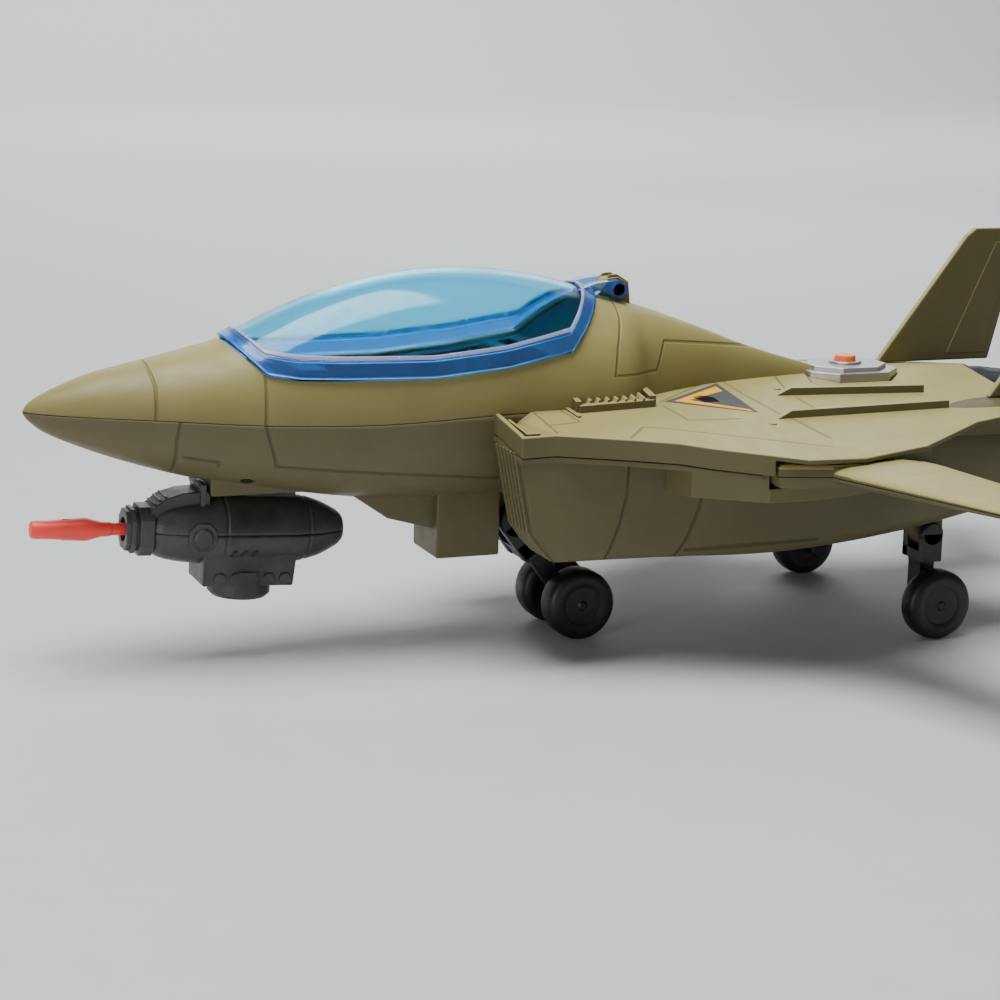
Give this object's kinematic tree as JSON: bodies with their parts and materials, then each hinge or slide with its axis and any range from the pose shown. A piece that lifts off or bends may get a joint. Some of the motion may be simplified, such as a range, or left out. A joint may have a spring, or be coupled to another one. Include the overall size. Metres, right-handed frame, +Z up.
{
  "type": "toy jet aircraft",
  "caption": "Olive toy jet with swing wings, an opening blue canopy, folding undercarriage, a belly missile launcher and a push button on its back.",
  "frame": {"origin": "centre of the bounding box at its base, on the surface the wheels stand on", "axes": "+X towards the tail, +Y to starboard, +Z up"},
  "size_m": [0.412, 0.336, 0.1357],
  "materials": {
    "olive_plastic": "moulded, light satin",
    "black_plastic": "moulded, satin",
    "dark_grey_plastic": "moulded, matte",
    "blue_clear": "tinted clear plastic, polished",
    "red_plastic": "moulded, glossy",
    "orange_plastic": "moulded, glossy",
    "silver_plastic": "metallic silver plastic, satin",
    "steel": "plated",
    "battery": "nickel",
    "board": "green resist"
  },
  "bodies": {
    "airframe": {"fuselage_upper_shell": "olive_plastic", "fuselage_lower_shell": "olive_plastic", "canopy_hinge_bracket": "olive_plastic", "battery_door": "olive_plastic", "cockpit_tub": "dark_grey_plastic", "pilot_seat": "dark_grey_plastic", "speaker": "dark_grey_plastic", "canopy_hinge_pin": "steel", "body_screw_nose": "steel", "body_screw_belly_port": "steel", "body_screw_belly_starboard": "steel", "body_screw_centre": "steel", "body_screw_tail_port": "steel", "body_screw_tail_starboard": "steel", "launcher_spring": "steel", "nose_gear_pin": "steel", "battery_door_screw": "steel", "launcher_upper_half": "black_plastic", "launcher_lower_half": "black_plastic", "main_gear_pin_port": "steel", "wing_pivot_screw_port": "steel", "tail_fin_port": "olive_plastic", "stabilator_port": "olive_plastic", "engine_nozzle_port": "dark_grey_plastic", "main_gear_pin_starboard": "steel", "wing_pivot_screw_starboard": "steel", "tail_fin_starboard": "olive_plastic", "stabilator_starboard": "olive_plastic", "engine_nozzle_starboard": "dark_grey_plastic", "sound_module": "silver_plastic", "circuit_board": "board", "battery_cell_1": "battery", "battery_cell_2": "battery", "battery_cell_3": "battery"},
    "canopy": {"canopy": "blue_clear"},
    "nose_gear": {"nose_gear_leg": "black_plastic", "nose_gear_axle": "steel"},
    "missile": {"missile": "red_plastic"},
    "plunger": {"launcher_plunger": "dark_grey_plastic"},
    "trigger": {"launcher_trigger": "black_plastic"},
    "button": {"sound_button": "orange_plastic"},
    "nose_wheel_port": {"nose_wheel_port": "black_plastic"},
    "main_gear_port": {"main_gear_leg_port": "black_plastic", "main_gear_axle_port": "steel"},
    "main_wheel_port": {"main_wheel_port": "black_plastic"},
    "wing_port": {"wing_upper_port": "olive_plastic", "wing_lower_port": "olive_plastic"},
    "nose_wheel_starboard": {"nose_wheel_starboard": "black_plastic"},
    "main_gear_starboard": {"main_gear_leg_starboard": "black_plastic", "main_gear_axle_starboard": "steel"},
    "main_wheel_starboard": {"main_wheel_starboard": "black_plastic"},
    "wing_starboard": {"wing_upper_starboard": "olive_plastic", "wing_lower_starboard": "olive_plastic"}
  },
  "joints": [
    {"name": "canopy_hinge", "type": "hinge", "parent": "airframe", "child": "canopy", "pos_m": [-0.0015, 0, 0.1221], "axis": [0, 1, 0], "range_deg": [0, 70]},
    {"name": "nose_gear_fold", "type": "hinge", "parent": "airframe", "child": "nose_gear", "pos_m": [-0.037, 0, 0.0422], "axis": [0, 1, 0], "range_deg": [-41, 31]},
    {"name": "missile_slide", "type": "slide", "parent": "airframe", "child": "missile", "axis": [-0.9986, 0, 0.0523], "range_m": [0, 0.012]},
    {"name": "plunger_slide", "type": "slide", "parent": "airframe", "child": "plunger", "axis": [-0.9986, 0, 0.0523], "range_m": [0, 0.012]},
    {"name": "trigger_press", "type": "slide", "parent": "airframe", "child": "trigger", "axis": [0.0523, 0, 0.9986], "range_m": [0, 0.001], "stiffness_N_per_m": 300, "springref_m": -0.001},
    {"name": "button_press", "type": "slide", "parent": "airframe", "child": "button", "axis": [0, 0, -1], "range_m": [0, 0.0015], "stiffness_N_per_m": 300, "springref_m": -0.001},
    {"name": "nose_wheel_port_spin", "type": "hinge", "parent": "nose_gear", "child": "nose_wheel_port", "pos_m": [-0.01494, -0.012, 0.0125], "axis": [0, 1, 0], "continuous": true},
    {"name": "main_gear_port_fold", "type": "hinge", "parent": "airframe", "child": "main_gear_port", "pos_m": [0.108, -0.038, 0.0367], "axis": [0, 1, 0], "range_deg": [-65, 0]},
    {"name": "main_wheel_port_spin", "type": "hinge", "parent": "main_gear_port", "child": "main_wheel_port", "pos_m": [0.108, -0.049, 0.0125], "axis": [0, 1, 0], "continuous": true},
    {"name": "wing_port_sweep", "type": "hinge", "parent": "airframe", "child": "wing_port", "pos_m": [0.0342, -0.068, 0.0702], "axis": [0, 0, 1], "range_deg": [0, 40]},
    {"name": "nose_wheel_starboard_spin", "type": "hinge", "parent": "nose_gear", "child": "nose_wheel_starboard", "pos_m": [-0.01494, 0.012, 0.0125], "axis": [0, 1, 0], "continuous": true},
    {"name": "main_gear_starboard_fold", "type": "hinge", "parent": "airframe", "child": "main_gear_starboard", "pos_m": [0.108, 0.038, 0.0367], "axis": [0, 1, 0], "range_deg": [-65, 0]},
    {"name": "main_wheel_starboard_spin", "type": "hinge", "parent": "main_gear_starboard", "child": "main_wheel_starboard", "pos_m": [0.108, 0.049, 0.0125], "axis": [0, 1, 0], "continuous": true},
    {"name": "wing_starboard_sweep", "type": "hinge", "parent": "airframe", "child": "wing_starboard", "pos_m": [0.0342, 0.068, 0.0702], "axis": [0, 0, -1], "range_deg": [0, 40]}
  ],
  "couplings": [
    {"joint": "plunger_slide", "follows": "missile_slide", "ratio": 1}
  ]
}
